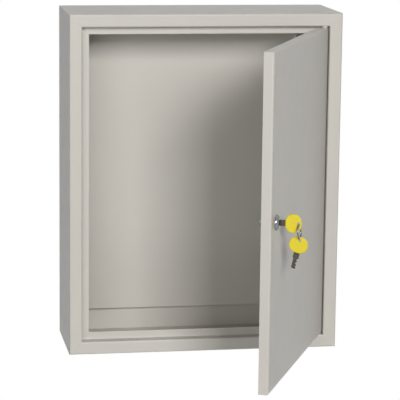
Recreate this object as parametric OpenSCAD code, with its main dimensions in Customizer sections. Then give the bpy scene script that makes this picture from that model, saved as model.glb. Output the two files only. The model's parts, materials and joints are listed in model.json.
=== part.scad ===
// Wall-hung sheet-steel cabinet with an inset hinged door, cam lock and keys.
// Frame: +Z up, front towards -Y, origin at the middle of the rear face.

/* [Cabinet] */
// Outer width of the cabinet
body_w = 400; // [340:5:600]
// Outer height of the cabinet
body_h = 500; // [400:5:800]
// Outer depth of the cabinet
body_d = 150; // [130:5:250]
// Thickness of the folded steel sheet
sheet_t = 1.2; // [1:0.1:1.4]
// Inside radius of every fold
bend_r = 1.2; // [1:0.1:1.4]
// Width of the flat front frame
frame_w = 19; // [18:0.5:24]
// Depth of the rebate that takes the door
rebate_d = 16; // [15.8:0.1:18]
// Width of the lip at the bottom of the rebate
lip_w = 11; // [8:0.5:12]

/* [Door] */
// Depth of the folded door edge
door_t = 14; // [12.5:0.1:14.2]
// Gap all round the closed door
door_gap = 2; // [1.8:0.1:2.4]
// Angle at which the door stands open
door_open = 65.5; // [0:0.5:105]
// Distance from the hinge edge to the pivot
pivot_in = 5; // [4.8:0.1:5.4]
// Distance from the door face to the pivot
pivot_back = 5; // [4.8:0.1:5.2]

/* [Hinges] */
// Diameter of the hinge pins
pin_d = 4; // [3.4:0.1:4.2]
// Radial running clearance of pins and lock core
run_clear = 0.05; // [0.03:0.01:0.1]
// Radial clearance of seated parts
seat_clear = 0.05; // [0.02:0.01:0.1]
// Diameter of the hinge washers
hinge_washer_d = 8; // [7:0.5:9]
// End play left under and over the door
end_play = 0.1; // [0.05:0.05:0.3]
// Length of the hinge plates
hinge_plate_l = 30; // [24:1:40]
// Thickness of hinge plates and door brackets
hinge_plate_t = 2; // [1.5:0.1:3]
// Diameter of the heads of the hinge pins
pin_head_d = 6.4; // [6:0.2:8]
// Height of the heads of the hinge pins
pin_head_h = 1.5; // [1:0.1:2]
// Projection of the pins beyond the door brackets
pin_reach = 2; // [1:0.5:4]
// Length of the door brackets along the door edge
bracket_l = 20; // [16:1:28]
// Height of the upright leg of the door brackets
bracket_leg = 22; // [16:1:30]
// Width of the upright leg of the door brackets
bracket_leg_w = 4; // [3:0.5:5]
// Set-back of the door brackets from the door edge
bracket_back = 1.5; // [1:0.1:2]

/* [Mounting plate] */
// Thickness of the mounting plate
plate_t = 2; // [1.5:0.1:3]
// Distance from each cabinet side to the plate
plate_side = 25; // [20:1:40]
// Distance from cabinet top and bottom to the plate
plate_end = 36; // [33:1:50]
// Height of the spacers behind the plate
spacer_l = 10; // [6:1:20]
// Diameter of the spacers
spacer_d = 12; // [10:0.5:16]
// Distance from the plate edges to its fixing holes
plate_hole_in = 12; // [10:0.5:18]

/* [Fixings] */
// Diameter of the wall-fixing holes
wall_hole_d = 8; // [6:0.5:10]
// Distance of the wall-fixing holes from the cabinet edges
wall_hole_in = 25; // [18:1:27]
// Diameter of the welded studs
stud_d = 6; // [5:0.5:6]
// Length of the plate studs
stud_l = 24; // [22:1:32]
// Length of the earth studs
earth_l = 14; // [12:0.5:18]
// Width across flats of the stud nuts
nut_af = 10; // [9:0.5:11]
// Height of the stud nuts
nut_h = 5; // [4:0.5:6]
// Diameter of the stud washers
washer_d = 12; // [11:0.5:14]
// Thickness of the stud washers
washer_t = 1.6; // [1:0.1:2]
// Height of the earth studs above the cabinet bottom
earth_up = 70; // [60:1:120]
// Distance of the cabinet earth stud from the rear face
earth_back = 68; // [40:1:80]
// Distance of the door earth stud from the hinge edge
door_earth_in = 45; // [36:1:60]

/* [Cable entries] */
// Number of cable entries in the bottom
entry_n = 3; // [1:1:3]
// Diameter of the cable entry holes
entry_d = 28; // [16:0.5:32]
// Spacing of the cable entries
entry_pitch = 80; // [50:1:100]
// Distance of the cable entries from the rear face
entry_back = 75; // [60:1:80]
// Width of the grommet rim beyond its hole
grommet_rim = 4; // [2:0.5:6]
// Projection of the grommets below the cabinet
grommet_h = 1.8; // [1.5:0.1:3]
// Thickness of the grommet membrane
membrane_t = 1; // [0.6:0.1:1.4]

/* [Lock] */
// Distance from the free door edge to the lock
lock_in = 30; // [26:0.5:34]
// Diameter of the threaded lock barrel
barrel_d = 18; // [17.5:0.5:19]
// Width across the barrel flats
barrel_flat = 16; // [15:0.5:17]
// Diameter of the lock bezel
bezel_d = 21; // [20:0.5:24]
// Projection of the bezel from the door
bezel_h = 5; // [3.5:0.5:7]
// Diameter of the turning lock core
core_d = 13; // [12:0.5:14]
// Width across flats of the lock nut
lock_nut_af = 24; // [22:0.5:26]
// Height of the lock nut
lock_nut_h = 5; // [3:0.5:6]
// Thickness of the lock washer
lock_washer_t = 1; // [0.8:0.1:1.5]
// Clearance between the cam and the lip
cam_clear = 0.7; // [0.5:0.1:1.5]
// Thickness of the cam
cam_t = 2; // [1.5:0.1:3]
// Reach of the cam from the lock axis
cam_l = 30; // [28:0.5:34]
// Width of the cam arm
cam_w = 14; // [10:0.5:16]
// Diameter of the cam round the stub
cam_hub_d = 17; // [16:0.5:19]
// Width of the square stub that carries the cam
stub_w = 7; // [6:0.5:8]
// Diameter of the cam screw
cam_screw_d = 3.4; // [3:0.1:4]
// Length of the cam screw in the core
cam_screw_l = 7; // [5:0.5:8]
// Thickness of the cam washer
cam_washer_t = 1.2; // [1:0.1:1.6]

/* [Keys] */
// Width of the oval key head along the key
head_l = 22; // [20:0.5:26]
// Extra height of the oval across the key
head_extra = 3.5; // [0:0.5:5]
// Thickness of the key head
head_t = 3.2; // [2.8:0.1:4]
// Distance of the ring hole from the head centre
ring_hole_in = 7; // [6:0.5:8]
// Diameter of the ring hole
ring_hole_d = 4.8; // [4.6:0.1:5.4]
// Length of the bit that enters the lock
bit_l = 14.5; // [12:0.5:15]
// Width of the bit
bit_w = 6; // [5:0.5:7]
// Thickness of the key metal
key_t = 2; // [1.6:0.1:2.2]
// Width of the key shoulder
shoulder_w = 8; // [7.5:0.5:9]
// Length of the bare shoulder between bit and head
shoulder_l = 7.5; // [6:0.5:10]
// Length of the tang cast into the head
tang_l = 7; // [5:0.5:8]
// Spacing of the cuts along the bit
cut_pitch = 2.2; // [1.8:0.1:2.2]
// Depth of the sunk faces of the key head
sunk = 0.4; // [0.2:0.1:0.6]
// Width of the raised rim of the key head
head_rim = 2.2; // [1.6:0.2:3]
// Mean diameter of the split ring
ring_d = 19.2; // [18:0.2:24]
// Diameter of the ring wire
ring_wire = 1.2; // [1:0.1:1.4]
// Outward lean of the split ring
ring_lean = 5; // [0:1:15]
// Inward lean of the spare key
spare_lean = 12; // [0:1:15]

/* [Part] */
// Sub-part to draw

/* [Hidden] */
$fn = 48;
eps = 1;
// Radial clearances: stud threads in nuts, studs in washers and plates, screw in washer
nut_gap = 0.05;
hole_play = 0.3;
screw_play = 0.2;
// Set-backs of the core from bezel and barrel, and of the key from the core
core_sunk = 0.3;
core_step = 0.5;
key_gap = 0.1;
// Clearances of the key in its keyway, of the cam on its stub and of the ring in its hole
key_play = 0.15;
key_end = 0.5;
stub_play = 0.05;
stub_short = 0.1;
ring_play = 0.1;
// Chamfers of stud tips, stud nuts, lock nut and pin tips
stud_chamfer = 0.8;
nut_chamfer = 0.8;
lock_nut_chamfer = 1.2;
pin_chamfer = 0.5;
// Bezel: width and depth of its front bevel, height of its side
bezel_bevel = 1.8;
bezel_edge = 0.8;
bezel_dome = 0.35;
bezel_side = 0.9;
// Cross recess of the cam screw: length, width and depth, and the head's two heights
cross_l = 4;
cross_w = 0.8;
cross_d = 1.2;
cam_head_h = 1.4;
cam_head_top = 0.8;
// Grommet: lip inside the sheet, groove collar and its bevel
grommet_lip = 2.5;
grommet_collar = 2;
grommet_bevel = 0.8;
// Key: rounding of the head's rims, boss round the ring hole, tang step
head_round = 1;
boss_w = 1.5;
tang_step = 1.2;
// Depths of the cuts in the bit, place of the first cut, width of its floor, and the tip
cuts = [1.4, 0.4, 1.8, 0.6, 1.1];
cut_start = 2.6;
cut_floor = 0.8;
tip_l = 1.2;
tip_h = 2.2;
hw = body_w / 2;
hh = body_h / 2;
fold_r = bend_r + sheet_t;
front_depth = rebate_d + sheet_t;
door_w = body_w - 2 * (frame_w + door_gap);
door_h = body_h - 2 * (frame_w + door_gap);
pin_r = pin_d / 2;
pin_x = hw - frame_w - door_gap - pivot_in;
pin_y = -body_d + pivot_back;
lock_x = -door_w / 2 + lock_in;
cam_v = front_depth + cam_clear;
barrel_end = cam_v - core_step;
barrel_r = barrel_d / 2;
core_r = core_d / 2;
core_front = bezel_h - core_sunk;
cam_screw_r = cam_screw_d / 2;
cam_head_r = cam_screw_d * 1.05;
plate_w = body_w - 2 * plate_side;
plate_h = body_h - 2 * plate_end;
plate_y = -sheet_t - spacer_l;
stud_r = stud_d / 2;
head_r = head_l / 2;
shoulder_v = core_front + key_gap;
head_v = shoulder_v + shoulder_l + head_r;
hole_v = head_v + ring_hole_in;
ring_r = ring_d / 2;
ring_drop = ring_hole_d / 2 - ring_wire - ring_play;
spare_drop = 2 * ring_drop + ring_d;
fine = 32;
steel = [0.78, 0.77, 0.74];
zinc = [0.72, 0.72, 0.68];
chrome = [0.85, 0.85, 0.87];
rubber = [0.12, 0.12, 0.12];
yellow = [0.86, 0.78, 0.08];

// ---------- placing ----------

// Swings its children with the door about the pivot line.
module at_door() {
    translate([pin_x, pin_y, 0])
        rotate([0, 0, door_open])
            translate([-pin_x, -pin_y, 0]) children();
}

// Lock axis as local Z running into the cabinet, local +Y downwards.
module at_lock() {
    at_door() translate([lock_x, -body_d, 0]) rotate([-90, 0, 0]) children();
}

// Ring hole of the inserted key, with the key running towards +Y.
module at_key() {
    at_door() translate([lock_x, -body_d - hole_v, 0]) children();
}

// Ring hole of the spare key, with the key running towards +Y.
module at_spare() {
    at_key()
        rotate([-ring_lean, 0, 0]) translate([0, 0, -spare_drop])
            rotate([ring_lean + spare_lean - 90, 0, 0]) children();
}

// Both ends of the cabinet, upper and lower.
module both_ends() {
    children();
    mirror([0, 0, 1]) children();
}

// Four corners at the given half distances.
module four(dx, dz) {
    for (x = [-dx, dx], z = [-dz, dz]) translate([x, 0, z]) children();
}

// ---------- sheet-metal sections ----------

// Quarter ring of sheet about (x, y), lying in the quadrant (sx, sy).
module fold(x, y, sx, sy) {
    translate([x, y]) intersection() {
        difference() {
            circle(r = fold_r);
            circle(r = bend_r);
        }
        translate([sx < 0 ? -fold_r : 0, sy < 0 ? -fold_r : 0]) square(fold_r);
    }
}

// Front frame, rebate side and lip, X inwards from the side, Y from the front.
module frame_section() {
    fold(fold_r, fold_r, -1, -1);
    translate([fold_r, 0]) square([frame_w - 2 * fold_r, sheet_t]);
    fold(frame_w - fold_r, fold_r, 1, -1);
    translate([frame_w - sheet_t, fold_r])
        square([sheet_t, rebate_d - bend_r - fold_r]);
    fold(frame_w + bend_r, rebate_d - bend_r, -1, 1);
    translate([frame_w + bend_r, rebate_d]) square([lip_w - bend_r, sheet_t]);
}

// One folded side with its rear bend.
module side_section() {
    translate([-hw, -body_d]) {
        frame_section();
        translate([0, fold_r]) square([sheet_t, body_d - 2 * fold_r]);
        fold(fold_r, body_d - fold_r, -1, 1);
    }
}

// Plan of the wrap-round sheet: two sides and the back.
module wrap_section() {
    side_section();
    mirror([1, 0]) side_section();
    translate([-hw + fold_r, -sheet_t]) square([body_w - 2 * fold_r, sheet_t]);
}

// Plan outline with rounded rear corners.
module plan_outline() {
    translate([-hw, -body_d]) square([body_w, body_d - fold_r]);
    translate([-hw + fold_r, -fold_r]) square([body_w - 2 * fold_r, fold_r]);
    for (s = [-1, 1]) translate([s * (hw - fold_r), -fold_r]) circle(r = fold_r);
}

// Mitred outline of the end panel, cut back by k from the sides.
module mitre_outline(k) {
    polygon([[-hw - eps, hh + eps], [-hw + k, hh - k],
        [hw - k, hh - k], [hw + eps, hh + eps]]);
}

// Space of the upper end panel: mitred frame in front, plain sheet behind.
module end_space() {
    translate([0, front_depth - body_d, 0]) rotate([90, 0, 0])
        linear_extrude(front_depth + eps) mitre_outline(frame_w + lip_w + eps);
    translate([0, eps, 0]) rotate([90, 0, 0])
        linear_extrude(body_d - front_depth + eps) mitre_outline(sheet_t);
}

// Upper end panel with its folded front frame.
module end_panel() {
    intersection() {
        translate([-hw, 0, 0]) rotate([90, 0, 90]) linear_extrude(body_w)
            translate([-body_d, hh]) rotate(-90) {
                frame_section();
                translate([0, fold_r]) square([sheet_t, body_d - fold_r]);
            }
        end_space();
        translate([0, 0, -eps]) linear_extrude(hh + 2 * eps) plan_outline();
    }
}

// Hole for the hinge pin through the frame at both ends.
module pin_bore(r) {
    translate([pin_x, pin_y, -hh]) cylinder(r = r, h = body_h);
}

// ---------- cabinet ----------

module body_wrap() {
    color(steel) difference() {
        translate([0, 0, -hh]) linear_extrude(body_h) wrap_section();
        both_ends() end_space();
        translate([0, eps, 0]) four(hw - wall_hole_in, hh - wall_hole_in)
            rotate([90, 0, 0]) cylinder(d = wall_hole_d, h = sheet_t + 2 * eps);
    }
}

// Pin bore that stops short of the outer sheet.
module return_bore() {
    translate([pin_x, pin_y, hh - frame_w - eps])
        cylinder(r = pin_r + seat_clear, h = sheet_t + 2 * eps);
}

module top_panel() {
    color(steel) difference() {
        end_panel();
        return_bore();
    }
}

// Centres of the cable entries.
module at_entries() {
    for (i = [0:entry_n - 1])
        translate([(i - (entry_n - 1) / 2) * entry_pitch, -entry_back, -hh]) children();
}

module bottom_panel() {
    color(steel) difference() {
        mirror([0, 0, 1]) difference() {
            end_panel();
            return_bore();
        }
        at_entries() translate([0, 0, -eps]) cylinder(d = entry_d, h = sheet_t + 2 * eps);
    }
}

module cable_grommets() {
    neck = entry_d / 2 - seat_clear;
    wall = neck - grommet_collar;
    rim = entry_d / 2 + grommet_rim;
    lip = neck + grommet_lip;
    top = sheet_t + grommet_collar;
    color(rubber) at_entries() rotate_extrude()
        polygon([[0, 0], [wall, 0], [wall, -grommet_h], [rim - grommet_bevel, -grommet_h],
            [rim, grommet_bevel - grommet_h], [rim, 0], [neck, 0], [neck, sheet_t],
            [lip, sheet_t], [lip, sheet_t + grommet_bevel], [neck, top], [wall, top],
            [wall, membrane_t], [0, membrane_t]]);
}

// Fixing positions of the mounting plate, local Z pointing forwards from y.
module at_plate_holes(y) {
    translate([0, y, 0])
        four(plate_w / 2 - plate_hole_in, plate_h / 2 - plate_hole_in)
            rotate([90, 0, 0]) children();
}

module mounting_plate() {
    color(steel) difference() {
        translate([-plate_w / 2, plate_y - plate_t, -plate_h / 2])
            cube([plate_w, plate_t, plate_h]);
        at_plate_holes(plate_y + eps)
            cylinder(r = stud_r + hole_play, h = plate_t + 2 * eps);
    }
}

// Welded stud with a chamfered tip, standing on local Z = 0.
module stud(l) {
    c = stud_chamfer;
    cylinder(r = stud_r, h = l - c, $fn = fine);
    translate([0, 0, l - c]) cylinder(r1 = stud_r, r2 = stud_r - c, h = c, $fn = fine);
}

// Plain washer for the studs.
module stud_washer() {
    difference() {
        cylinder(d = washer_d, h = washer_t, $fn = fine);
        translate([0, 0, -eps])
            cylinder(r = stud_r + hole_play, h = washer_t + 2 * eps, $fn = fine);
    }
}

// Hexagon nut with chamfered corners and a round bore.
module hex_nut(af, h, r_bore, chamfer) {
    r_hex = af / sqrt(3);
    c = chamfer * tan(30);
    difference() {
        intersection() {
            cylinder(r = r_hex, h = h, $fn = 6);
            union() {
                cylinder(r1 = r_hex - chamfer, r2 = r_hex, h = c, $fn = fine);
                translate([0, 0, c]) cylinder(r = r_hex, h = h - 2 * c, $fn = fine);
                translate([0, 0, h - c])
                    cylinder(r1 = r_hex, r2 = r_hex - chamfer, h = c, $fn = fine);
            }
        }
        translate([0, 0, -eps]) cylinder(r = r_bore, h = h + 2 * eps, $fn = fine);
    }
}

module plate_studs() {
    color(zinc) at_plate_holes(-sheet_t) stud(stud_l);
}

module plate_spacers() {
    color(zinc) at_plate_holes(-sheet_t) difference() {
        cylinder(d = spacer_d, h = spacer_l, $fn = fine);
        translate([0, 0, -eps])
            cylinder(r = stud_r + hole_play, h = spacer_l + 2 * eps, $fn = fine);
    }
}

module plate_washers() {
    color(zinc) at_plate_holes(plate_y - plate_t) stud_washer();
}

module plate_nuts() {
    color(zinc) at_plate_holes(plate_y - plate_t - washer_t)
        hex_nut(nut_af, nut_h, stud_r + nut_gap, nut_chamfer);
}

// Foot of the cabinet earth stud on the right-hand wall, local Z inwards.
module at_cabinet_earth() {
    translate([hw - sheet_t, -earth_back, earth_up - hh]) rotate([0, -90, 0]) children();
}

module cabinet_earth_stud() {
    color(zinc) at_cabinet_earth() stud(earth_l);
}

module cabinet_earth_washer() {
    color(zinc) at_cabinet_earth() stud_washer();
}

module cabinet_earth_nut() {
    color(zinc) at_cabinet_earth() translate([0, 0, washer_t])
        hex_nut(nut_af, nut_h, stud_r + nut_gap, nut_chamfer);
}

// ---------- hinges ----------

// Stiffening plate lying on the hidden side of the frame around the pin.
module hinge_plates() {
    y0 = -body_d + fold_r;
    z0 = hh - frame_w + sheet_t;
    color(steel) both_ends() difference() {
        translate([pin_x + pivot_in - hinge_plate_l, y0, z0])
            cube([hinge_plate_l, rebate_d - 2 * fold_r, hinge_plate_t]);
        translate([pin_x, pin_y, z0 - eps])
            cylinder(r = pin_r + seat_clear, h = hinge_plate_t + 2 * eps);
    }
}

// Headed pins hanging from the hinge plates into the door.
module hinge_pins() {
    z_head = hh - frame_w + sheet_t + hinge_plate_t;
    z_tip = hh - frame_w - door_gap - fold_r - hinge_plate_t - pin_reach;
    c = pin_chamfer;
    color(zinc) both_ends() translate([pin_x, pin_y, 0]) {
        translate([0, 0, z_head]) cylinder(d = pin_head_d, h = pin_head_h, $fn = fine);
        translate([0, 0, z_tip + c]) cylinder(r = pin_r, h = z_head - z_tip - c);
        translate([0, 0, z_tip]) cylinder(r1 = pin_r - c, r2 = pin_r, h = c);
    }
}

// Bearing washers between door and frame.
module hinge_washers() {
    h = door_gap - end_play;
    color(rubber) both_ends() translate([pin_x, pin_y, hh - frame_w - h]) difference() {
        cylinder(d = hinge_washer_d, h = h, $fn = fine);
        translate([0, 0, -eps]) cylinder(r = pin_r + seat_clear, h = h + 2 * eps, $fn = fine);
    }
}

// ---------- door ----------

// Block with two rounded front edges, X centred, front at Y = 0.
module rounded_front(w, d, r) {
    translate([-w / 2, r]) square([w, d - r]);
    translate([-w / 2 + r, 0]) square([w - 2 * r, r]);
    for (s = [-1, 1]) translate([s * (w / 2 - r), r]) circle(r = r);
}

// Solid with all four front edges rounded by r.
module pan_block(w, h, d, r) {
    intersection() {
        translate([0, 0, -h / 2]) linear_extrude(h) rounded_front(w, d, r);
        translate([-w / 2, 0, 0]) rotate([90, 0, 90]) linear_extrude(w)
            rotate(-90) rounded_front(h, d, r);
    }
}

// Barrel section with two flats, grown by c.
module barrel_section(c) {
    intersection() {
        circle(r = barrel_r + c);
        square([barrel_flat + 2 * c, barrel_d + 2 * c + eps], center = true);
    }
}

module door_pan() {
    color(steel) difference() {
        at_door() translate([0, -body_d, 0]) difference() {
            pan_block(door_w, door_h, door_t, fold_r);
            translate([0, sheet_t, 0])
                pan_block(door_w - 2 * sheet_t, door_h - 2 * sheet_t, door_t, bend_r);
        }
        at_lock() translate([0, 0, -eps])
            linear_extrude(sheet_t + 2 * eps) barrel_section(2 * seat_clear);
        pin_bore(pin_r + run_clear);
    }
}

// Angle brackets inside the door corners that carry the pins.
module door_hinge_brackets() {
    x0 = door_w / 2 - sheet_t - bracket_l;
    x1 = door_w / 2 - sheet_t;
    y0 = -body_d + sheet_t;
    y1 = -body_d + door_t - bracket_back;
    top = door_h / 2 - fold_r;
    color(steel) difference() {
        at_door() both_ends() {
            translate([0, 0, top - hinge_plate_t]) linear_extrude(hinge_plate_t)
                polygon([[x0, y0], [x1 - bend_r, y0], [x1, y0 + bend_r], [x1, y1], [x0, y1]]);
            translate([x1 - hinge_plate_t, y1 - bracket_leg_w, top - bracket_leg])
                cube([hinge_plate_t, bracket_leg_w, bracket_leg]);
        }
        pin_bore(pin_r + run_clear);
    }
}

// Foot of the door earth stud on the inside of the door face.
module at_door_earth() {
    at_door() translate([door_w / 2 - door_earth_in, -body_d + sheet_t, earth_up - hh])
        rotate([-90, 0, 0]) children();
}

module door_earth_stud() {
    color(zinc) at_door_earth() stud(earth_l);
}

module door_earth_washer() {
    color(zinc) at_door_earth() stud_washer();
}

module door_earth_nut() {
    color(zinc) at_door_earth() translate([0, 0, washer_t])
        hex_nut(nut_af, nut_h, stud_r + nut_gap, nut_chamfer);
}

// ---------- lock ----------

// Barrel with two flats behind a domed bezel, bored for the core.
module lock_housing() {
    rb = bezel_d / 2;
    bore = core_r + run_clear;
    color(chrome) at_lock() union() {
        rotate_extrude() polygon([[bore, -bezel_h], [rb - bezel_bevel - bezel_edge, -bezel_h],
            [rb - bezel_bevel, bezel_dome - bezel_h], [rb, -bezel_side], [rb, 0], [bore, 0]]);
        linear_extrude(barrel_end) difference() {
            barrel_section(0);
            circle(r = bore);
        }
    }
}

module lock_washer() {
    color(zinc) at_lock() translate([0, 0, sheet_t]) difference() {
        cylinder(d = lock_nut_af + 2, h = lock_washer_t);
        translate([0, 0, -eps])
            linear_extrude(lock_washer_t + 2 * eps) barrel_section(2 * seat_clear);
    }
}

module lock_nut() {
    color(zinc) at_lock() translate([0, 0, sheet_t + lock_washer_t])
        hex_nut(lock_nut_af, lock_nut_h, barrel_r + nut_gap, lock_nut_chamfer);
}

// Turning core: keyway in front, square stub for the cam behind.
module lock_core() {
    slot_w = key_t + 2 * key_play;
    slot_h = bit_w + 2 * key_play;
    color(chrome) at_lock() difference() {
        union() {
            translate([0, 0, -core_front]) cylinder(r = core_r, h = core_front + cam_v);
            translate([-stub_w / 2, -stub_w / 2, cam_v]) cube([stub_w, stub_w, cam_t - stub_short]);
        }
        translate([-slot_w / 2, -slot_h / 2, -core_front - eps])
            cube([slot_w, slot_h, bit_l + key_end + eps]);
        translate([0, 0, cam_v + cam_t - cam_screw_l])
            cylinder(r = cam_screw_r, h = cam_screw_l, $fn = fine);
    }
}

module lock_cam() {
    r_tip = cam_w / 2;
    color(zinc) at_lock() translate([0, 0, cam_v]) linear_extrude(cam_t) difference() {
        union() {
            circle(d = cam_hub_d);
            translate([-r_tip, 0]) square([cam_w, cam_l - r_tip]);
            translate([0, cam_l - r_tip]) circle(r = r_tip);
        }
        square(stub_w + 2 * stub_play, center = true);
    }
}

module cam_washer() {
    color(zinc) at_lock() translate([0, 0, cam_v + cam_t]) difference() {
        cylinder(r = stub_w, h = cam_washer_t, $fn = fine);
        translate([0, 0, -eps])
            cylinder(r = cam_screw_r + screw_play, h = cam_washer_t + 2 * eps, $fn = fine);
    }
}

// Pan-head screw with a cross recess.
module cam_screw() {
    v = cam_v + cam_t + cam_washer_t;
    shank = cam_screw_l + cam_washer_t - key_end;
    color(zinc) at_lock() difference() {
        union() {
            translate([0, 0, v - shank])
                cylinder(r = cam_screw_r - nut_gap, h = shank, $fn = fine);
            translate([0, 0, v]) cylinder(r = cam_head_r, h = cam_head_h, $fn = fine);
            translate([0, 0, v + cam_head_h])
                cylinder(r1 = cam_head_r, r2 = cam_head_r - cam_head_top,
                         h = cam_head_top, $fn = fine);
        }
        for (a = [0, 90]) rotate([0, 0, a])
            translate([-cross_l / 2, -cross_w / 2, v + cam_head_h + cam_head_top - cross_d])
                cube([cross_l, cross_w, cross_d + eps]);
    }
}

// ---------- keys ----------

// Side view of the key metal, X along the key from the ring hole, Y across it.
module key_outline() {
    x0 = hole_v - shoulder_v;
    x1 = x0 - shoulder_l;
    b = bit_w / 2;
    t = shoulder_w - 2 * tang_step;
    translate([x1 - tang_step, -shoulder_w / 2]) square([shoulder_l + tang_step, shoulder_w]);
    translate([x1 - tang_l, -t / 2]) square([tang_l, t]);
    difference() {
        translate([x0 - eps, -b]) square([bit_l + eps, bit_w]);
        for (i = [0:len(cuts) - 1]) translate([x0 + cut_start + i * cut_pitch, -b])
            polygon([[-cut_floor / 2 - cuts[i], -eps], [-cut_floor / 2 - cuts[i], 0],
                [-cut_floor / 2, cuts[i]], [cut_floor / 2, cuts[i]],
                [cut_floor / 2 + cuts[i], 0], [cut_floor / 2 + cuts[i], -eps]]);
        for (m = [0, 1]) mirror([0, m]) translate([x0 + bit_l, b])
            polygon([[-tip_l, 0], [0, -tip_h + m * tip_l], [eps, 0], [0, eps]]);
    }
}

module key_metal() {
    translate([-key_t / 2, 0, 0]) rotate([90, 0, 90]) linear_extrude(key_t) key_outline();
}

// Half section of the key head with rounded rims.
module head_section() {
    e = head_round;
    h = head_t / 2;
    translate([0, -h]) square([head_r - e, head_t]);
    translate([0, -h + e]) square([head_r, head_t - 2 * e]);
    for (s = [-1, 1]) translate([head_r - e, s * (h - e)]) circle(r = e, $fn = 24);
}

// Oval made of two half discs and a straight middle.
module oval(r) {
    o = head_extra / 2;
    for (s = [-1, 1]) translate([0, s * o]) circle(r = r);
    translate([-r, -o]) square([2 * r, 2 * o]);
}

// Moulded key head with sunk faces, a boss round the ring hole and a cast-in key.
module key_cap() {
    o = head_extra / 2;
    difference() {
        translate([0, ring_hole_in, 0]) rotate([90, 0, 90]) {
            translate([0, o, 0]) rotate_extrude(angle = 180) head_section();
            translate([0, -o, 0]) rotate([0, 0, 180]) rotate_extrude(angle = 180) head_section();
            translate([0, o, 0]) rotate([90, 0, 0]) linear_extrude(2 * o) {
                head_section();
                mirror([1, 0]) head_section();
            }
        }
        for (s = [0, 1]) mirror([s, 0, 0])
            translate([head_t / 2 - sunk, 0, 0]) rotate([90, 0, 90]) linear_extrude(sunk + eps)
                difference() {
                    translate([ring_hole_in, 0]) oval(head_r - head_rim);
                    circle(d = ring_hole_d + 2 * boss_w);
                }
        rotate([0, 90, 0]) cylinder(d = ring_hole_d, h = head_t + 2 * eps, center = true);
        key_metal();
    }
}

module key_blade() {
    color(zinc) at_key() key_metal();
}

module key_head() {
    color(yellow) at_key() key_cap();
}

module spare_key_blade() {
    color(zinc) at_spare() key_metal();
}

module spare_key_head() {
    color(yellow) at_spare() key_cap();
}

// Ring of two turns of wire lying side by side.
module split_ring() {
    w = ring_wire / 2;
    color(chrome) at_key() rotate([-ring_lean, 0, 0])
        translate([0, 0, -ring_drop - ring_r]) rotate([90, 0, 0])
            rotate_extrude($fn = 64) for (s = [-1, 1])
                translate([ring_r, s * w * 0.95]) circle(r = w, $fn = 16);
}

// ---------- assembly ----------

body_wrap();
top_panel();
bottom_panel();
mounting_plate();
plate_studs();
plate_spacers();
plate_washers();
plate_nuts();
cabinet_earth_stud();
cabinet_earth_washer();
cabinet_earth_nut();
hinge_plates();
hinge_pins();
hinge_washers();
cable_grommets();
door_pan();
door_hinge_brackets();
door_earth_stud();
door_earth_washer();
door_earth_nut();
lock_housing();
lock_washer();
lock_nut();
lock_core();
lock_cam();
cam_washer();
cam_screw();
key_blade();
key_head();
split_ring();
spare_key_blade();
spare_key_head();
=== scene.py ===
"""Sheet-steel wall cabinet: camera, stage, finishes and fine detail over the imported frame."""
import json
import math

import bpy
import numpy as np
from mathutils import Matrix, Vector


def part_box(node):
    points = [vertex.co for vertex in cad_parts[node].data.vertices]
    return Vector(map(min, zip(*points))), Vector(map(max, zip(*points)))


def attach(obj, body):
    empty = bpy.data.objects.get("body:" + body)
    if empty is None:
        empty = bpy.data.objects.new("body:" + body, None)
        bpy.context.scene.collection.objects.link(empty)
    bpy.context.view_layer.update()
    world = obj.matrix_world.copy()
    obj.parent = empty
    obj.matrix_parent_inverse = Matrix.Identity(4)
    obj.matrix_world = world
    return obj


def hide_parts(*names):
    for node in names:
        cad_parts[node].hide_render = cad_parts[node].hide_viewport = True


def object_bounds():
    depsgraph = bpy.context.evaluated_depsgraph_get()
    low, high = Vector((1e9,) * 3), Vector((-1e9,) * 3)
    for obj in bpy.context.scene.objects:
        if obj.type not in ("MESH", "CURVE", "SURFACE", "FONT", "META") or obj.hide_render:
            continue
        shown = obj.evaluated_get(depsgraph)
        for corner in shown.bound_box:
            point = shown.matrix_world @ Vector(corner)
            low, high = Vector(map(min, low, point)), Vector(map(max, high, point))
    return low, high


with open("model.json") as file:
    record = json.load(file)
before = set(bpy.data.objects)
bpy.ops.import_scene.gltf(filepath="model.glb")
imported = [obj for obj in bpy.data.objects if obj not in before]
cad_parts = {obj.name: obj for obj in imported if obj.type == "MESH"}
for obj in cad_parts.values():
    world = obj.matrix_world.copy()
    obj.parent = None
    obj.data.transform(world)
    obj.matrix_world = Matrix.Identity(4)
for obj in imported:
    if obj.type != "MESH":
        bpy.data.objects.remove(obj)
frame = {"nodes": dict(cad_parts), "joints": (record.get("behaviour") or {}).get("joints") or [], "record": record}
CAD_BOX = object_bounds()

bl_info = {
    "name": "Wall cabinet",
    "version": (1, 0, 0),
    "blender": (4, 5, 0),
    "location": "3D View > Sidebar > Wall cabinet",
    "description": "Finishes, threads and small parts of a sheet-steel wall cabinet",
    "category": "Object",
}

TAU = 2 * math.pi
LAMP_TARGET = Vector((0, -0.1, 0))   # the lamps look at this point inside the cabinet
SHEET_T = 0.0012                     # gauge of the cabinet's sheet steel


# ---------- colours, nodes and meshes ----------

def hex_rgb(code):
    """Linear red, green and blue of an sRGB hex code."""
    s = np.array([int(code[i:i + 2], 16) for i in (0, 2, 4)]) / 255
    return tuple(np.where(s <= 0.04045, s / 12.92, ((s + 0.055) / 1.055) ** 2.4))


def hex_rgba(code):
    return (*hex_rgb(code), 1.0)


def add(tree, kind, inputs=None, **settings):
    """Adds a shader node: settings are its properties, and inputs its values or linked sockets."""
    n = tree.nodes.new(kind)
    for key, value in settings.items():
        setattr(n, key, value)
    for key, value in (inputs or {}).items():
        if isinstance(value, bpy.types.NodeSocket):
            tree.links.new(value, n.inputs[key])
        else:
            n.inputs[key].default_value = value
    return n


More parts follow.
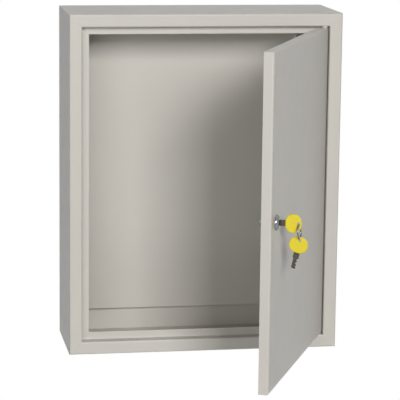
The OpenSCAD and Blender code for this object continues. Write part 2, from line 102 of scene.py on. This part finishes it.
def grid_faces(rows, cols, wrap_rows, wrap_cols):
    """Quads of a rows x cols grid of vertices, closed round in either direction where asked."""
    i = np.arange(rows if wrap_rows else rows - 1)
    j = np.arange(cols if wrap_cols else cols - 1)
    i, j = np.meshgrid(i, j, indexing="ij")
    k, m = (i + 1) % rows, (j + 1) % cols
    return np.stack([i * cols + j, i * cols + m, k * cols + m, k * cols + j], -1).reshape(-1, 4)


def make_piece(name, body, parts, material, crease=35.0):
    """One object from several closed grids, each given as points[rows, cols, 3], wrap_rows,
    wrap_cols and caps, which closes the first and last row with a fan to the row's middle.
    Edges sharper than crease, in degrees, stay hard."""
    verts, faces, base = [], [], 0
    for points, wrap_rows, wrap_cols, caps in parts:
        rows, cols = points.shape[:2]
        verts.append(points.reshape(-1, 3))
        faces += (grid_faces(rows, cols, wrap_rows, wrap_cols) + base).tolist()
        count = rows * cols
        if caps:
            verts.append(np.stack([points[0].mean(0), points[-1].mean(0)]))
            ring = np.arange(cols)
            after = (ring + 1) % cols
            first = np.stack([after, ring, np.full(cols, count)], -1)
            last = np.stack([ring, after, np.full(cols, count + 1 - (rows - 1) * cols)], -1)
            faces += (first + base).tolist() + (last + base + (rows - 1) * cols).tolist()
            count += 2
        base += count
    mesh = bpy.data.meshes.new(name)
    mesh.from_pydata(np.concatenate(verts).tolist(), [], faces)
    mesh.polygons.foreach_set("use_smooth", np.ones(len(mesh.polygons), bool))
    mesh.set_sharp_from_angle(angle=math.radians(crease))
    mesh.materials.append(material)
    mesh.update()
    obj = bpy.data.objects.new(name, mesh)
    bpy.context.scene.collection.objects.link(obj)
    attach(obj, body)
    return obj


def axis_frame(origin, axis, up=(0, 0, 1)):
    """4x4 whose third column is the axis and whose first lies across up."""
    z = Vector(axis).normalized()
    x = Vector(up).cross(z)
    if x.length < 1e-6:
        x = Vector((1, 0, 0))
    x.normalize()
    y = z.cross(x)
    return np.array(Matrix((
        (x.x, y.x, z.x, origin[0]), (x.y, y.y, z.y, origin[1]),
        (x.z, y.z, z.z, origin[2]), (0, 0, 0, 1))))


def placed(m, points):
    """Points moved by a 4x4 matrix."""
    return points @ m[:3, :3].T + m[:3, 3]


def joint(name):
    return next(j for j in frame["joints"] if j["name"] == name)


# ---------- sizes a user would change ----------

class CoatSettings(bpy.types.PropertyGroup):
    colour: bpy.props.FloatVectorProperty(
        name="Coat colour", description="Light warm grey of the powder coat",
        subtype="COLOR", default=hex_rgb("CCC8C0"), min=0, max=1)
    grain: bpy.props.FloatProperty(
        name="Orange peel", description="Width of one bump of the coat",
        default=0.0030, unit="LENGTH", min=0.0005, max=0.01)
    roughness: bpy.props.FloatProperty(
        name="Roughness", description="Satin powder coat", default=0.40, min=0, max=1,
        subtype="FACTOR")


class FixingSettings(bpy.types.PropertyGroup):
    stud_pitch: bpy.props.FloatProperty(
        name="Stud pitch", description="Pitch of the 6 mm stud threads",
        default=0.001, unit="LENGTH", min=0.0005, max=0.002)
    lock_pitch: bpy.props.FloatProperty(
        name="Lock thread pitch", description="Pitch of the thread on the lock barrel",
        default=0.0015, unit="LENGTH", min=0.0005, max=0.003)
    weld: bpy.props.FloatProperty(
        name="Stud weld", description="Width of the weld collar round each stud foot",
        default=0.0008, unit="LENGTH", min=0.0002, max=0.002)
    seam: bpy.props.FloatProperty(
        name="Frame weld", description="Width of the weld beads in the corners of the front frame",
        default=0.0016, unit="LENGTH", min=0.0008, max=0.003)


class KeySettings(bpy.types.PropertyGroup):
    colour: bpy.props.FloatVectorProperty(
        name="Key head colour", description="Yellow of the moulded key heads",
        subtype="COLOR", default=hex_rgb("E0CC14"), min=0, max=1)
    split: bpy.props.FloatProperty(
        name="Ring cross-over", description="Share of a turn in which the ring wire changes sides",
        default=0.12, min=0.02, max=0.4, subtype="FACTOR")


class StageSettings(bpy.types.PropertyGroup):
    lens: bpy.props.FloatProperty(
        name="Lens", description="Focal length on a 36 mm sensor, in millimetres",
        default=177.98, min=20, max=400)
    place: bpy.props.FloatVectorProperty(
        name="Camera place", description="Where the camera stands", subtype="TRANSLATION",
        unit="LENGTH", default=(-0.48978, -2.9545, 0.50287))
    heading: bpy.props.FloatProperty(
        name="Heading", description="Turn of the view to the right of straight ahead",
        default=math.radians(9.741), unit="ROTATION")
    dip: bpy.props.FloatProperty(
        name="Dip", description="Downward tilt of the view",
        default=math.radians(10.455), unit="ROTATION")
    roll: bpy.props.FloatProperty(
        name="Roll", description="Lean of the camera about its own axis",
        default=math.radians(0.656), unit="ROTATION")
    drop: bpy.props.FloatProperty(
        name="Floor drop", description="Height of the hung cabinet above the floor",
        default=0.9, unit="LENGTH", min=0, max=3)
    floor: bpy.props.FloatProperty(
        name="Floor radius", description="Where the pale floor has faded into the background",
        default=2.4, unit="LENGTH", min=1, max=20)
    key: bpy.props.FloatProperty(
        name="Key lamp", description="Power of the soft lamp in front and above",
        default=142.0, unit="POWER", min=0)
    fill: bpy.props.FloatProperty(
        name="Fill lamps", description="Power of the three soft lamps on the left together",
        default=30.0, unit="POWER", min=0)
    side: bpy.props.FloatProperty(
        name="Side lamp", description="Power of the soft lamp on the right",
        default=5.0, unit="POWER", min=0)
    top: bpy.props.FloatProperty(
        name="Top lamp", description="Power of the small lamp overhead",
        default=2.5, unit="POWER", min=0)
    rear: bpy.props.FloatProperty(
        name="Rear lamp", description="Power of the soft lamp behind",
        default=36.0, unit="POWER", min=0)


# ---------- finishes ----------

def new_material(name):
    """An empty node material with its shader and output, and the object coordinates in metres."""
    m = bpy.data.materials.new(name)
    m.use_nodes = True
    m.node_tree.nodes.clear()
    shader = add(m.node_tree, "ShaderNodeBsdfPrincipled")
    add(m.node_tree, "ShaderNodeOutputMaterial", {"Surface": shader.outputs[0]})
    where = add(m.node_tree, "ShaderNodeTexCoord").outputs["Object"]
    return m, shader, where


def varied(tree, where, scale, low, high, detail=2.0):
    """Noise of the given scale, spread between two values."""
    n = add(tree, "ShaderNodeTexNoise", {"Vector": where, "Scale": scale, "Detail": detail})
    return add(tree, "ShaderNodeMapRange", {
        "Value": n.outputs[0], "From Min": 0.3, "From Max": 0.7,
        "To Min": low, "To Max": high}).outputs[0]


def blended(tree, share, low, high):
    """Colour between low and high by the share, each a colour or a socket."""
    mix = add(tree, "ShaderNodeMix", data_type="RGBA")
    for socket, value in zip((mix.inputs["Factor"], *[i for i in mix.inputs if i.type == "RGBA"]),
                             (share, low, high)):
        if isinstance(value, bpy.types.NodeSocket):
            tree.links.new(value, socket)
        else:
            socket.default_value = value
    return next(o for o in mix.outputs if o.type == "RGBA")


def bumped(tree, shader, height, distance, strength=1.0):
    """Relief of the given height, whose full depth is distance in metres."""
    b = add(tree, "ShaderNodeBump", {
        "Height": height, "Distance": distance, "Strength": strength})
    tree.links.new(b.outputs[0], shader.inputs["Normal"])


def powder_coat(s):
    """Polyester powder coat, sprayed and baked on steel sheet: an even light grey, satin,
    with the shallow orange peel that breaks up its highlights and a faint drift of tone. Its satin
    shows as pale lines along the folds and as soft reflections on sheets seen at a low angle."""
    m, shader, where = new_material("powder-coated steel, light grey")
    t = m.node_tree
    drift, sheen_patch, peel_depth = 0.11, 0.02, 0.00004
    tone = varied(t, where, 1 / drift, 0.0, 1.0)
    thin = tuple(0.97 * c for c in s.colour)
    t.links.new(blended(t, tone, (*thin, 1.0), (*s.colour, 1.0)), shader.inputs["Base Color"])
    t.links.new(varied(t, where, 1 / sheen_patch, s.roughness - 0.03, s.roughness + 0.04),
                shader.inputs["Roughness"])
    shader.inputs["IOR"].default_value = 1.5
    peel = add(t, "ShaderNodeTexNoise", {"Vector": where, "Scale": 1 / s.grain, "Detail": 1.5})
    bumped(t, shader, peel.outputs[0], peel_depth, 0.5)
    return m


def plated(name, colour, roughness, streak_mm=0.6, relief=0.00001):
    """A plated or polished metal with fine brushed or rolled streaks along Z, streak_mm wide."""
    m, shader, where = new_material(name)
    t = m.node_tree
    shader.inputs["Base Color"].default_value = hex_rgba(colour)
    shader.inputs["Metallic"].default_value = 1.0
    stretch = add(t, "ShaderNodeMapping", {"Vector": where, "Scale": (1, 1, 0.15)})
    grain = varied(t, stretch.outputs[0], 1000 / streak_mm,
                   max(roughness - 0.06, 0.02), roughness + 0.08, 3.0)
    t.links.new(grain, shader.inputs["Roughness"])
    bumped(t, shader, grain, relief, 0.6)
    return m


def zinc_plate():
    """Bright zinc plate on steel fixings: pale blue-grey, satin, a little uneven."""
    return plated("bright zinc-plated steel", "C9CBCC", 0.32)


def zinc_darkened_for_painted_shade():
    """Zinc plate of the lock's cam, washer and screw, barrel-plated; its dark grey colour is painted shade,
    standing in for the shadow behind the door, so it stays dim there."""
    # 77776F is painted shade: darker and duller than the bright zinc, to stand in for the shadow behind the door
    return plated("zinc-plated steel, darkened as painted shade", "77776F", 0.45)


def chrome_darkened_for_painted_reflection():
    """Chrome plate on the die-cast lock and the ring: near mirror, its base colour darkened to mid grey as
    painted reflection of dark surroundings, so it shows the pale studio as mid grey with the dark inside of the
    cabinet beside it."""
    # 7F8183 is darker than chrome's own colour: painted reflection of dark surroundings
    return plated("chromed zinc die casting, darkened as painted reflection", "7F8183", 0.12, 1.5, 0.000003)


def nickel_darkened_for_painted_reflection():
    """Nickel plate on the stamped key blades: a slightly warm metal whose dark base colour is painted reflection
    of dark surroundings, satin where the punch and the key cutter left it."""
    # 4B4840 is painted reflection: the blades are darkened to look as if they mirror dark surroundings
    return plated("black-nickel-plated steel", "4B4840", 0.28)


def key_plastic(s):
    """Injection-moulded ABS key heads: opaque yellow with a fine spark-eroded texture."""
    m, shader, where = new_material("moulded yellow ABS")
    t = m.node_tree
    shader.inputs["Base Color"].default_value = (*s.colour, 1.0)
    shader.inputs["IOR"].default_value = 1.54
    t.links.new(varied(t, where, 1 / 0.0015, 0.30, 0.42), shader.inputs["Roughness"])
    spark = add(t, "ShaderNodeTexNoise", {"Vector": where, "Scale": 1 / 0.0008, "Detail": 2.0})
    bumped(t, shader, spark.outputs[0], 0.00005, 0.5)
    return m


def nylon():
    """Moulded natural nylon bearing washers: creamy, waxy and half clear at the edges."""
    m, shader, where = new_material("moulded natural nylon")
    t = m.node_tree
    shader.inputs["Base Color"].default_value = hex_rgba("DDD8CB")
    shader.inputs["Subsurface Weight"].default_value = 0.2
    shader.inputs["Subsurface Radius"].default_value = (0.001, 0.001, 0.0008)
    t.links.new(varied(t, where, 1 / 0.002, 0.38, 0.5), shader.inputs["Roughness"])
    return m


def membrane_rubber():
    """Moulded EPDM grommets: matt charcoal with a dusty bloom in patches."""
    m, shader, where = new_material("moulded EPDM rubber")
    t = m.node_tree
    tone = varied(t, where, 1 / 0.008, 0.0, 1.0, 4.0)
    t.links.new(blended(t, tone, hex_rgba("232426"), hex_rgba("343537")),
                shader.inputs["Base Color"])
    t.links.new(varied(t, where, 1 / 0.001, 0.6, 0.8), shader.inputs["Roughness"])
    return m


def seen_directly(tree):
    """1 for camera, glossy and transmission rays, and 0 for the light on surfaces."""
    path = add(tree, "ShaderNodeLightPath")
    share = path.outputs["Is Camera Ray"]
    for ray in ("Is Glossy Ray", "Is Transmission Ray"):
        share = add(tree, "ShaderNodeMath", {0: share, 1: path.outputs[ray]},
                    operation="MAXIMUM").outputs[0]
    return share


def floor_paint(s):
    """Matt white studio paint. Its lift to white is only for the eye and for reflections, so that
    shadows on it stay, and it thins out towards its rim into the white beyond."""
    m, shader, where = new_material("painted studio floor")
    t = m.node_tree
    shader.inputs["Base Color"].default_value = hex_rgba("F4F4F4")
    t.links.new(varied(t, where, 1 / 0.05, 0.85, 0.95), shader.inputs["Roughness"])
    shader.inputs["Emission Color"].default_value = (1, 1, 1, 1)
    glow, fade_from = 0.62, 0.6
    lift = add(t, "ShaderNodeMath", {0: seen_directly(t), 1: glow}, operation="MULTIPLY")
    t.links.new(lift.outputs[0], shader.inputs["Emission Strength"])
    flat = add(t, "ShaderNodeVectorMath", {0: where, 1: (1, 1, 0)}, operation="MULTIPLY")
    reach = add(t, "ShaderNodeVectorMath", {0: flat.outputs["Vector"]}, operation="LENGTH")
    thin = add(t, "ShaderNodeMapRange", {
        "Value": reach.outputs["Value"], "From Min": fade_from * s.floor, "From Max": s.floor,
        "To Min": 1.0, "To Max": 0.0}, interpolation_type="SMOOTHSTEP")
    t.links.new(thin.outputs[0], shader.inputs["Alpha"])
    return m


FINISHES = {}


def finish_of(name):
    """Each finish is made once, on first use."""
    if name not in FINISHES:
        scene = bpy.context.scene
        FINISHES[name] = {
            "powder_coat": lambda: powder_coat(scene.cabinet_coat),
            "zinc_steel": zinc_plate,
            "zinc_darkened_for_painted_shade": zinc_darkened_for_painted_shade,
            "chrome_zinc": chrome_darkened_for_painted_reflection,
            "nickel_steel": nickel_darkened_for_painted_reflection,
            "yellow_plastic": lambda: key_plastic(scene.cabinet_keys),
            "nylon": nylon,
            "black_rubber": membrane_rubber,
        }[name]()
    return FINISHES[name]


def dress(names, finish=None):
    """Gives CAD nodes the named finish, or else the one of their material slot."""
    slots = {p["node"]: p["material_slot"] for p in frame["record"]["subparts"]}
    for name in names:
        mesh = frame["nodes"][name].data
        mesh.materials.clear()
        mesh.materials.append(finish_of(finish or slots[name]))


def points_of(node):
    """A CAD node's vertices at rest, in metres."""
    mesh = frame["nodes"][node].data
    points = np.empty(len(mesh.vertices) * 3, np.float32)
    mesh.vertices.foreach_get("co", points)
    return points.reshape(-1, 3).astype(float)


# ---------- shapes ----------

def thread_wave(z, angle, pitch, start, end, fade):
    """0 at the thread's crest and 1 at its root: a rounded V that climbs one pitch a turn
    and dies out over fade at both ends of the threaded length."""
    phase = z / pitch - angle / TAU
    v = np.abs((phase % 1.0) * 2 - 1)
    v = 0.5 - 0.5 * np.cos(v * math.pi)
    return v * np.clip((z - start) / fade, 0, 1) * np.clip((end - z) / fade, 0, 1)


def threaded_stud(m, radius, length, pitch, weld):
    """Stud about local Z: radius(z, angle) is the plain radius less the thread's wave,
    with a flared weld foot at z = 0 and a chamfer at the tip."""
    steps = int(length / pitch * 8)
    z = np.concatenate([[0, 0.25 * weld, 0.6 * weld, weld],
                        np.linspace(1.5 * weld, length - pitch * 0.7, steps),
                        [length - 0.3 * pitch, length]])
    flare = weld * np.clip(1 - z / weld, 0, 1) ** 2
    tip = np.clip((z - (length - 0.7 * pitch)) / (0.7 * pitch), 0, 1) * 0.7 * pitch
    angle = np.arange(32) / 32 * TAU
    zz, aa = np.meshgrid(z, angle, indexing="ij")
    wave = thread_wave(zz, aa, pitch, 3 * weld, length - 0.5 * pitch, pitch)
    r = radius + flare[:, None] - tip[:, None] - 0.55 * pitch * wave
    points = np.stack([r * np.cos(aa), r * np.sin(aa), zz], -1)
    return placed(m, points), False, True, True


def coil_ring(m, radius, wire, split):
    """Two turns of wire round local Z in one path: its centre line is a circle whose height
    goes from one side to the other within the cross-over, and its section is a flattened circle."""
    wound, start = 1.985, 0.22       # turns of wire, and where in a turn the wire begins
    turns = np.linspace(0.0, wound, 260)
    step = np.clip((turns - (1 - split / 2)) / split, 0, 1)
    side = (step * step * (3 - 2 * step)) * 2 - 1
    angle = (turns + start) * TAU
    section = np.arange(12) / 12 * TAU
    w = wire / 2
    r = radius + w * 0.97 * np.cos(section)[None, :]
    z = side[:, None] * w * 0.95 + w * 0.93 * np.sin(section)[None, :]
    a = angle[:, None]
    points = np.stack([r * np.cos(a), r * np.sin(a), z * np.ones_like(r)], -1)
    return placed(m, points), False, True, True


def bezier(a, b, c, d, count):
    """Points of the cubic Bezier curve from a to d with handles b and c."""
    u = np.linspace(0, 1, count)[:, None]
    a, b, c, d = (np.array(v, float) for v in (a, b, c, d))
    return (1 - u) ** 3 * a + 3 * u * (1 - u) ** 2 * b + 3 * u * u * (1 - u) * c + u ** 3 * d


def lock_body(m, bezel, front, bore, barrel, flat, end, sheet, pitch):
    """Lock housing about local Z, which runs into the door: a closed profile (radius, z) of bore,
    rim, domed bezel and barrel is turned about Z. Behind the sheet the barrel's radius is the
    smaller of the thread and of the two flats, whose radius is flat / |cos(angle)|."""
    edge = 0.0003
    dome = bezier((bezel - 0.0029, front), (bezel - 0.0020, front),
                  (bezel - edge, 0.5 * front), (bezel, 0.18 * front), 12)
    head = np.concatenate([[(bore, front + edge), (bore + edge, front)], dome,
                           [(bezel, 0.0), (barrel, 0.0)]])
    z = np.linspace(0.0, end - 0.6 * pitch, int(end / pitch * 10))
    tail = np.array([(barrel - 0.6 * pitch, end), (bore + edge, end), (bore, end - edge)])
    profile = np.concatenate([head, np.stack([np.full_like(z, barrel), z], -1), tail])
    side = math.acos(flat / barrel)
    angle = np.concatenate([
        np.linspace(-side, side, 12, endpoint=False),
        np.linspace(side, math.pi - side, 36, endpoint=False),
        np.linspace(math.pi - side, math.pi + side, 12, endpoint=False),
        np.linspace(math.pi + side, TAU - side, 36, endpoint=False)])
    r, a = np.meshgrid(profile[:, 0], angle, indexing="ij")
    zz = np.repeat(profile[:, 1:], len(angle), 1)
    threads = slice(len(head), len(profile) - 3)
    wave = thread_wave(zz[threads], a[threads], pitch, sheet + 0.5 * pitch, end, pitch)
    r[threads] = np.minimum(r[threads] - 0.6 * pitch * wave, flat / np.abs(np.cos(a[threads])))
    r[-3] = np.minimum(r[-3], flat / np.abs(np.cos(a[-3])))
    points = np.stack([r * np.cos(a), r * np.sin(a), zz], -1)
    return placed(m, points), True, True, False


def weld_bead(m, length, width, height):
    """Bead along local X on the plane z = 0: its section is half an ellipse that sinks a little
    under the plane, its height ripples along X in crescents, and both ends round off."""
    u = np.linspace(-1, 1, max(int(length / width * 14), 24))
    phi = np.arange(16) / 16 * TAU
    uu, pp = np.meshgrid(u, phi, indexing="ij")
    end = np.sqrt(1 - np.abs(uu) ** 6 * 0.999)
    crest = 1 + 0.16 * np.cos(TAU * (uu * length / width * 0.9 - 0.5 * np.cos(pp) ** 2))
    y = 0.5 * width * end * np.cos(pp)
    z = np.maximum(height * end * crest * np.sin(pp), -0.4 * height)
    points = np.stack([uu * length / 2, y, z], -1)
    return placed(m, points), False, True, True


# ---------- operators ----------

class CABINET_OT_camera(bpy.types.Operator):
    """Stands the camera in front, above and to the left of the cabinet"""
    bl_idname = "cabinet.camera"
    bl_label = "Camera"

    def execute(self, context):
        s = context.scene.cabinet_stage
        data = bpy.data.cameras.new("camera")
        data.sensor_width = 36
        data.lens = s.lens
        data.clip_start, data.clip_end = 0.05, 60
        cam = bpy.data.objects.new("camera", data)
        context.scene.collection.objects.link(cam)
        turn = (Matrix.Rotation(-s.heading, 4, "Z") @ Matrix.Rotation(math.pi / 2 - s.dip, 4, "X")
                @ Matrix.Rotation(s.roll, 4, "Z"))
        cam.matrix_world = Matrix.Translation(s.place) @ turn
        context.scene.camera = cam
        return {"FINISHED"}


def soft_lamp(context, name, turn, lift, reach, size, power):
    """A square soft lamp that looks at the cabinet's middle: turn is its direction round Z, from
    the front towards the right, lift its height angle and reach its distance."""
    data = bpy.data.lights.new(name, "AREA")
    data.size = size
    data.energy = power
    lamp = bpy.data.objects.new(name, data)
    turn, lift = math.radians(turn), math.radians(lift)
    away = Vector((math.sin(turn) * math.cos(lift),
                   -math.cos(turn) * math.cos(lift), math.sin(lift)))
    lamp.location = LAMP_TARGET + away * reach
    lamp.rotation_euler = away.to_track_quat("Z", "Y").to_euler()
    context.scene.collection.objects.link(lamp)


class CABINET_OT_stage(bpy.types.Operator):
    """Sets the pale floor, the white background and the soft lamps"""
    bl_idname = "cabinet.stage"
    bl_label = "Stage"

    def execute(self, context):
        s = context.scene.cabinet_stage
        level = CAD_BOX[0].z - s.drop
        mesh = bpy.data.meshes.new("floor")
        side = s.floor * 1.05
        mesh.from_pydata([(-side, -side, level), (side, -side, level),
                          (side, side, level), (-side, side, level)], [], [(0, 1, 2, 3)])
        floor = bpy.data.objects.new("floor", mesh)
        context.scene.collection.objects.link(floor)
        mesh.materials.append(floor_paint(s))

        world = bpy.data.worlds.new("studio")
        context.scene.world = world
        world.use_nodes = True
        t = world.node_tree
        t.nodes.clear()
        white = add(t, "ShaderNodeBackground", {
            "Color": (1, 1, 1, 1), "Strength": seen_directly(t)})
        add(t, "ShaderNodeOutputWorld", {"Surface": white.outputs[0]})

        soft_lamp(context, "key lamp", 5, 19, 5.0, 1.2, s.key)
        soft_lamp(context, "fill lamp, left", -22, 5, 3.0, 1.2, s.fill * 0.5)
        soft_lamp(context, "fill lamp, middle", -12, 14, 4.0, 1.6, s.fill * 0.45)
        soft_lamp(context, "fill lamp, upper left", -45, 40, 2.0, 0.8, s.fill * 0.05)
        soft_lamp(context, "side lamp", 90, 10, 3.0, 1.2, s.side)
        soft_lamp(context, "top lamp", 135, 75, 1.65, 0.6, s.top)
        soft_lamp(context, "rear lamp", 172, -12, 3.0, 1.0, s.rear)
        context.scene.view_settings.view_transform = "Standard"
        return {"FINISHED"}


class CABINET_OT_sheet(bpy.types.Operator):
    """Coats the folded sheets, the mounting plate and the door, and welds the frame's corners"""
    bl_idname = "cabinet.sheet"
    bl_label = "Folded sheets"

    def execute(self, context):
        dress(["body_wrap", "top_panel", "bottom_panel", "mounting_plate", "hinge_plates",
               "door_pan", "door_hinge_brackets"])
        s = context.scene.cabinet_fixings
        points = points_of("body_wrap")
        x, y, z = np.abs(points[:, 0]), points[:, 1], np.abs(points[:, 2])
        face = y.min()
        past_bend, rebate_wall, frame_zone, near = 0.0022, 0.01, 0.03, 0.0005
        inside = x[(y > face + past_bend) & (y < face + rebate_wall)].min()
        mouth = x[y < face + frame_zone].min()
        lip = y[x < mouth + near].min()
        taller = z.max() - x.max()
        reach = inside - mouth
        fold = 2 * SHEET_T
        parts = []
        for sx in (-1, 1):
            for sz in (-1, 1):
                out = np.array([sx, 0, sz]) / math.sqrt(2)
                for level, middle, length in (
                        (lip, (inside + mouth) / 2, (reach - fold / 2) * math.sqrt(2) - s.seam),
                        (face, inside + fold + 1.4 * s.seam, 3.4 * s.seam)):
                    centre = np.array([sx * middle, level, sz * (middle + taller)])
                    m = np.eye(4)
                    m[:3, 0], m[:3, 2], m[:3, 3] = out, (0, -1, 0), centre
                    m[:3, 1] = np.cross(m[:3, 2], out)
                    parts.append(weld_bead(m, length, s.seam, 0.28 * s.seam))
        beads = make_piece("frame_corner_welds", "cabinet", parts, finish_of("powder_coat"))
        return {"FINISHED"}


class CABINET_OT_fixings(bpy.types.Operator):
    """Plates the fixings and cuts the threads of the welded studs"""
    bl_idname = "cabinet.fixings"
    bl_label = "Studs and fixings"

    def execute(self, context):
        s = context.scene.cabinet_fixings
        dress(["plate_spacers", "plate_washers", "plate_nuts", "cabinet_earth_washer",
               "cabinet_earth_nut", "hinge_pins", "hinge_washers", "door_earth_washer",
               "door_earth_nut", "plate_studs", "cabinet_earth_stud", "door_earth_stud"])
        zinc = finish_of("zinc_steel")
        lo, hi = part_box("plate_studs")
        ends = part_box("cabinet_earth_stud")
        radius = (ends[1].z - ends[0].z) / 2
        parts = []
        for x in (lo.x + radius, hi.x - radius):
            for z in (lo.z + radius, hi.z - radius):
                m = axis_frame((x, hi.y, z), (0, -1, 0))
                parts.append(threaded_stud(m, radius, hi.y - lo.y, s.stud_pitch, s.weld))
        studs = make_piece("plate_stud_threads", "cabinet", parts, zinc)
        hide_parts("plate_studs")

        lo, hi = ends
        m = axis_frame((hi.x, (lo.y + hi.y) / 2, (lo.z + hi.z) / 2), (-1, 0, 0))
        stud = make_piece("cabinet_earth_thread", "cabinet",
                          [threaded_stud(m, radius, hi.x - lo.x, s.stud_pitch, s.weld)], zinc)
        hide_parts("cabinet_earth_stud")

        out = Vector(joint("lock_turn")["axis"])
        across = Vector((0, 0, 1)).cross(out)
        points = points_of("door_earth_stud")
        depth = points @ np.array(out)
        side = points @ np.array(across)
        foot = (Vector(out) * float(depth.min()) + across * float((side.min() + side.max()) / 2)
                + Vector((0, 0, float((points[:, 2].min() + points[:, 2].max()) / 2))))
        m = axis_frame(foot, out)
        stud = make_piece("door_earth_thread", "door",
                          [threaded_stud(m, radius, float(np.ptp(depth)), s.stud_pitch, s.weld)],
                          zinc)
        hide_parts("door_earth_stud")
        return {"FINISHED"}


class CABINET_OT_lock(bpy.types.Operator):
    """Plates the cam lock and cuts the thread of its barrel"""
    bl_idname = "cabinet.lock"
    bl_label = "Cam lock"

    def execute(self, context):
        s = context.scene.cabinet_fixings
        dress(["lock_housing", "lock_washer", "lock_nut", "lock_core"])
        # the cam, washer and screw take the zinc darkened as painted shade
        dress(["lock_cam", "cam_washer", "cam_screw"], "zinc_darkened_for_painted_shade")
        turn = joint("lock_turn")
        m = axis_frame(turn["pos_m"], turn["axis"])
        local = (points_of("lock_housing") - m[:3, 3]) @ m[:3, :3]
        radius = np.hypot(local[:, 0], local[:, 1])
        past_bezel = 0.001
        behind = local[:, 2] > past_bezel
        sheet = points_of("lock_washer") @ m[:3, 2]
        body = make_piece("lock_housing_thread", "door", [lock_body(
            m, radius.max(), local[:, 2].min(), radius.min(), radius[behind].max(),
            np.abs(local[behind, 0]).max(), local[:, 2].max(),
            float(sheet.min() - m[:3, 3] @ m[:3, 2]), s.lock_pitch)],
            finish_of("chrome_zinc"), crease=30.0)
        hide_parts("lock_housing")
        return {"FINISHED"}


class CABINET_OT_keys(bpy.types.Operator):
    """Finishes both keys and winds the split ring"""
    bl_idname = "cabinet.keys"
    bl_label = "Keys and ring"

    def execute(self, context):
        s = context.scene.cabinet_keys
        dress(["key_blade", "key_head", "spare_key_blade", "spare_key_head", "split_ring"])
        points = points_of("split_ring")
        middle = (points.min(0) + points.max(0)) / 2
        swing = joint("ring_swing")
        across = Vector(swing["axis"]).normalized()
        hang = (Vector(middle) - Vector(swing["pos_m"]))
        hang -= across * hang.dot(across)
        hang.normalize()
        axis = across.cross(hang)
        m = axis_frame(middle, axis, up=tuple(hang))
        local = (points - m[:3, 3]) @ m[:3, :3]
        outer = np.hypot(local[:, 0], local[:, 1]).max()
        inner = np.hypot(local[:, 0], local[:, 1]).min()
        ring = make_piece("split_ring_coil", "key_ring",
                          [coil_ring(m, (outer + inner) / 2, outer - inner, s.split)],
                          finish_of("chrome_zinc"))
        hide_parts("split_ring")
        return {"FINISHED"}


class CABINET_OT_grommets(bpy.types.Operator):
    """Finishes the rubber grommets of the cable holes"""
    bl_idname = "cabinet.grommets"
    bl_label = "Cable grommets"

    def execute(self, context):
        dress(["cable_grommets"])
        return {"FINISHED"}


OPERATORS = (CABINET_OT_camera, CABINET_OT_stage, CABINET_OT_sheet, CABINET_OT_fixings,
             CABINET_OT_lock, CABINET_OT_keys, CABINET_OT_grommets)
GROUPS = {"cabinet_coat": CoatSettings, "cabinet_fixings": FixingSettings,
          "cabinet_keys": KeySettings, "cabinet_stage": StageSettings}


class CABINET_PT_panel(bpy.types.Panel):
    """Lists the cabinet's sizes and steps"""
    bl_idname = "CABINET_PT_panel"
    bl_label = "Wall cabinet"
    bl_space_type = "VIEW_3D"
    bl_region_type = "UI"
    bl_category = "Wall cabinet"

    def draw(self, context):
        for group, kind in GROUPS.items():
            box = self.layout.box()
            for key in kind.__annotations__:
                box.prop(getattr(context.scene, group), key)
        for op in OPERATORS:
            self.layout.operator(op.bl_idname)


def register():
    for cls in (*GROUPS.values(), *OPERATORS, CABINET_PT_panel):
        bpy.utils.register_class(cls)
    for name, cls in GROUPS.items():
        setattr(bpy.types.Scene, name, bpy.props.PointerProperty(type=cls))


def unregister():
    for name in GROUPS:
        delattr(bpy.types.Scene, name)
    for cls in (CABINET_PT_panel, *OPERATORS[::-1], *list(GROUPS.values())[::-1]):
        bpy.utils.unregister_class(cls)


def main():
    register()
    for op in OPERATORS:
        area, name = op.bl_idname.split(".")
        getattr(getattr(bpy.ops, area), name)()


if __name__ == "__main__":
    main()
